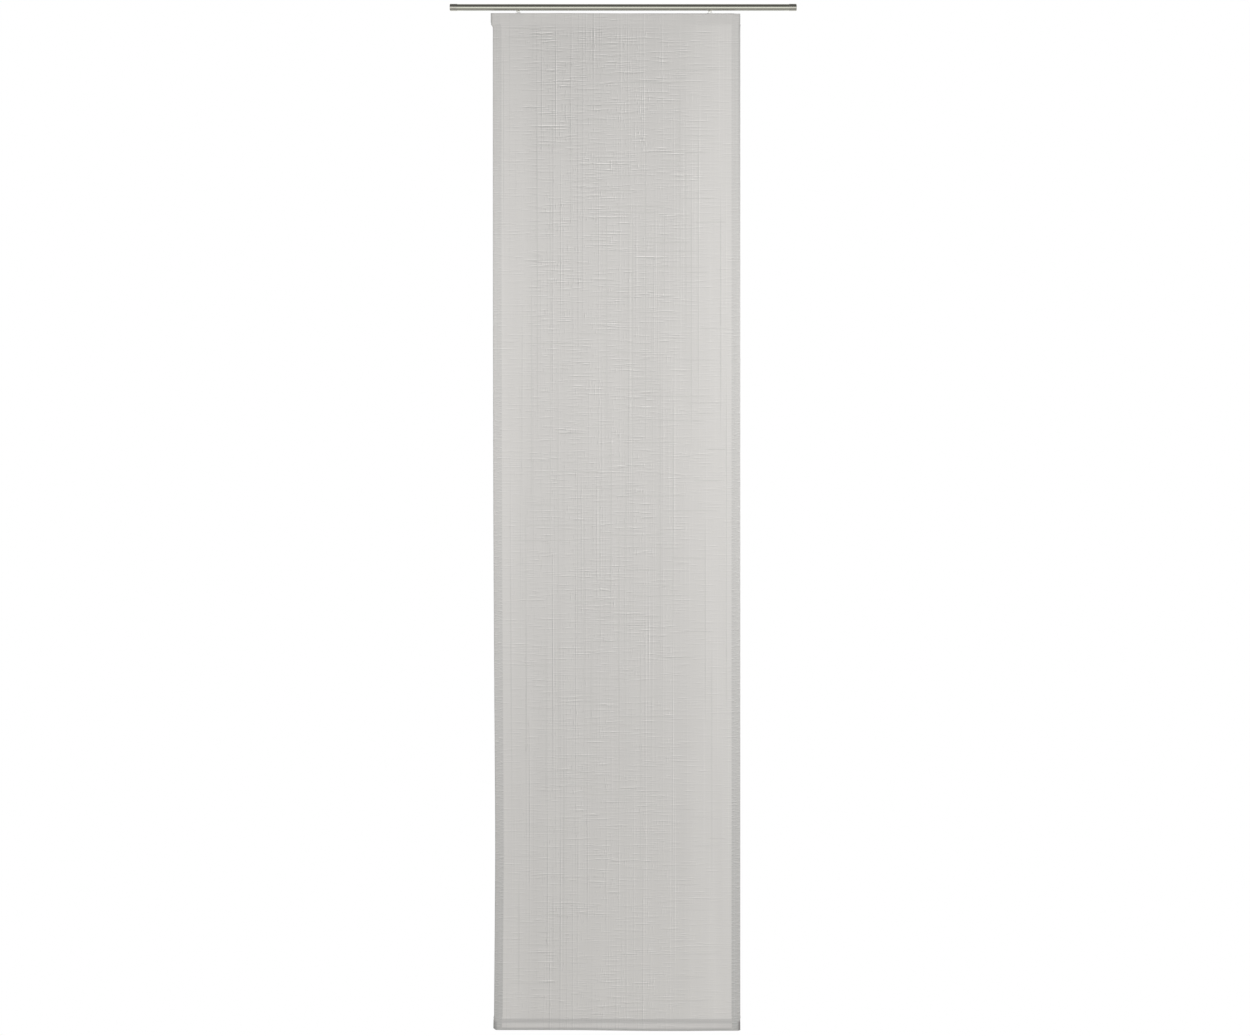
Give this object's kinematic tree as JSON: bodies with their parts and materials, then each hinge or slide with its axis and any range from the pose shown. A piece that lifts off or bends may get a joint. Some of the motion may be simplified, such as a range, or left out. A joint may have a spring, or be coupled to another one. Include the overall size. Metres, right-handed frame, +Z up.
{
  "type": "panel curtain",
  "caption": "Flat slub-weave cloth panel with sewn hems, hung by hook and loop tape from a carrier bar that slides on gliders in a slotted round rail and is weighted at its foot.",
  "frame": {"origin": "on the axis of the round rail tube, at the middle of its length", "axes": "+X along the rail to the right as seen from the room, +Y away from the room towards the window, +Z up"},
  "size_m": [0.836, 0.0172, 2.4721],
  "materials": {
    "rail_tube": "warm satin nickel plating",
    "rail_end_cap": "metallised satin",
    "glider": "moulded, smooth",
    "carrier_bar": "drawn, white powder coat",
    "carrier_end_cap": "moulded, smooth",
    "hook_tape": "woven nylon with moulded hooks",
    "loop_tape": "brushed nylon loops",
    "cloth_panel": "plain weave with slub yarns",
    "weight_bar": "drawn",
    "weight_bar_cap": "moulded, smooth"
  },
  "bodies": {
    "rail": {"rail_tube": "rail_tube", "rail_end_cap_left": "rail_end_cap", "rail_end_cap_right": "rail_end_cap"},
    "gliders": {"glider_left": "glider", "glider_right": "glider"},
    "panel": {"carrier_bar": "carrier_bar", "carrier_end_cap_left": "carrier_end_cap", "carrier_end_cap_right": "carrier_end_cap", "hook_tape": "hook_tape", "loop_tape": "loop_tape", "cloth_panel": "cloth_panel", "weight_bar": "weight_bar", "weight_bar_cap_left": "weight_bar_cap", "weight_bar_cap_right": "weight_bar_cap"}
  },
  "joints": [
    {"name": "panel_slide", "type": "slide", "parent": "rail", "child": "gliders", "axis": [1, 0, 0], "range_m": [-0.125, 0.17]},
    {"name": "panel_swing", "type": "hinge", "parent": "gliders", "child": "panel", "pos_m": [0, 0, -0.0165], "axis": [1, 0, 0], "range_deg": [-20, 20]}
  ]
}
